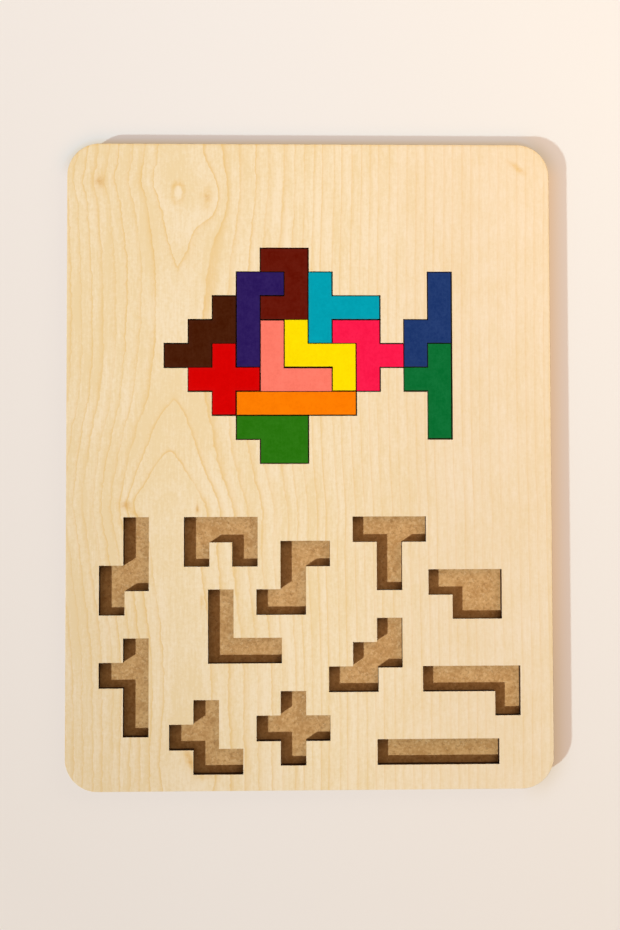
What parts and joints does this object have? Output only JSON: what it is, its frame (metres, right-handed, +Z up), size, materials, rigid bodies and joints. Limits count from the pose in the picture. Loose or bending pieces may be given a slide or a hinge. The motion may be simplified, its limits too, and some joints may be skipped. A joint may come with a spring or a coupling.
{
  "type": "wooden pentomino puzzle",
  "caption": "Flat wooden tray puzzle: painted pentomino pieces fill a fish-shaped recess, and each piece has an empty storage pocket of its own outline below it.",
  "frame": {"origin": "middle of the underside, which rests on the table", "axes": "+X across the board, +Y along it towards the fish, +Z up out of the face"},
  "size_m": [0.202, 0.269, 0.006],
  "materials": {
    "maple_face": "satin",
    "hardboard": "matte",
    "crimson_paint": "satin",
    "orange_paint": "satin",
    "indigo_paint": "satin",
    "blue_paint": "satin",
    "leaf_green_paint": "satin",
    "turquoise_paint": "satin",
    "maroon_paint": "satin",
    "salmon_paint": "satin",
    "brown_paint": "satin",
    "red_paint": "satin",
    "bottle_green_paint": "satin",
    "yellow_paint": "satin"
  },
  "bodies": {
    "board": {"back_board": "hardboard", "face_board": "maple_face"},
    "piece_f": {"pentomino_f": "crimson_paint"},
    "piece_i": {"pentomino_i": "orange_paint"},
    "piece_l": {"pentomino_l": "indigo_paint"},
    "piece_n": {"pentomino_n": "blue_paint"},
    "piece_p": {"pentomino_p": "leaf_green_paint"},
    "piece_t": {"pentomino_t": "turquoise_paint"},
    "piece_u": {"pentomino_u": "maroon_paint"},
    "piece_v": {"pentomino_v": "salmon_paint"},
    "piece_w": {"pentomino_w": "brown_paint"},
    "piece_x": {"pentomino_x": "red_paint"},
    "piece_y": {"pentomino_y": "bottle_green_paint"},
    "piece_z": {"pentomino_z": "yellow_paint"}
  },
  "joints": [
    {"name": "lift_f", "type": "slide", "parent": "board", "child": "piece_f", "axis": [0, 0, 1], "range_m": [0, 0.015]},
    {"name": "lift_i", "type": "slide", "parent": "board", "child": "piece_i", "axis": [0, 0, 1], "range_m": [0, 0.015]},
    {"name": "lift_l", "type": "slide", "parent": "board", "child": "piece_l", "axis": [0, 0, 1], "range_m": [0, 0.015]},
    {"name": "lift_n", "type": "slide", "parent": "board", "child": "piece_n", "axis": [0, 0, 1], "range_m": [0, 0.015]},
    {"name": "lift_p", "type": "slide", "parent": "board", "child": "piece_p", "axis": [0, 0, 1], "range_m": [0, 0.015]},
    {"name": "lift_t", "type": "slide", "parent": "board", "child": "piece_t", "axis": [0, 0, 1], "range_m": [0, 0.015]},
    {"name": "lift_u", "type": "slide", "parent": "board", "child": "piece_u", "axis": [0, 0, 1], "range_m": [0, 0.015]},
    {"name": "lift_v", "type": "slide", "parent": "board", "child": "piece_v", "axis": [0, 0, 1], "range_m": [0, 0.015]},
    {"name": "lift_w", "type": "slide", "parent": "board", "child": "piece_w", "axis": [0, 0, 1], "range_m": [0, 0.015]},
    {"name": "lift_x", "type": "slide", "parent": "board", "child": "piece_x", "axis": [0, 0, 1], "range_m": [0, 0.015]},
    {"name": "lift_y", "type": "slide", "parent": "board", "child": "piece_y", "axis": [0, 0, 1], "range_m": [0, 0.015]},
    {"name": "lift_z", "type": "slide", "parent": "board", "child": "piece_z", "axis": [0, 0, 1], "range_m": [0, 0.015]}
  ]
}
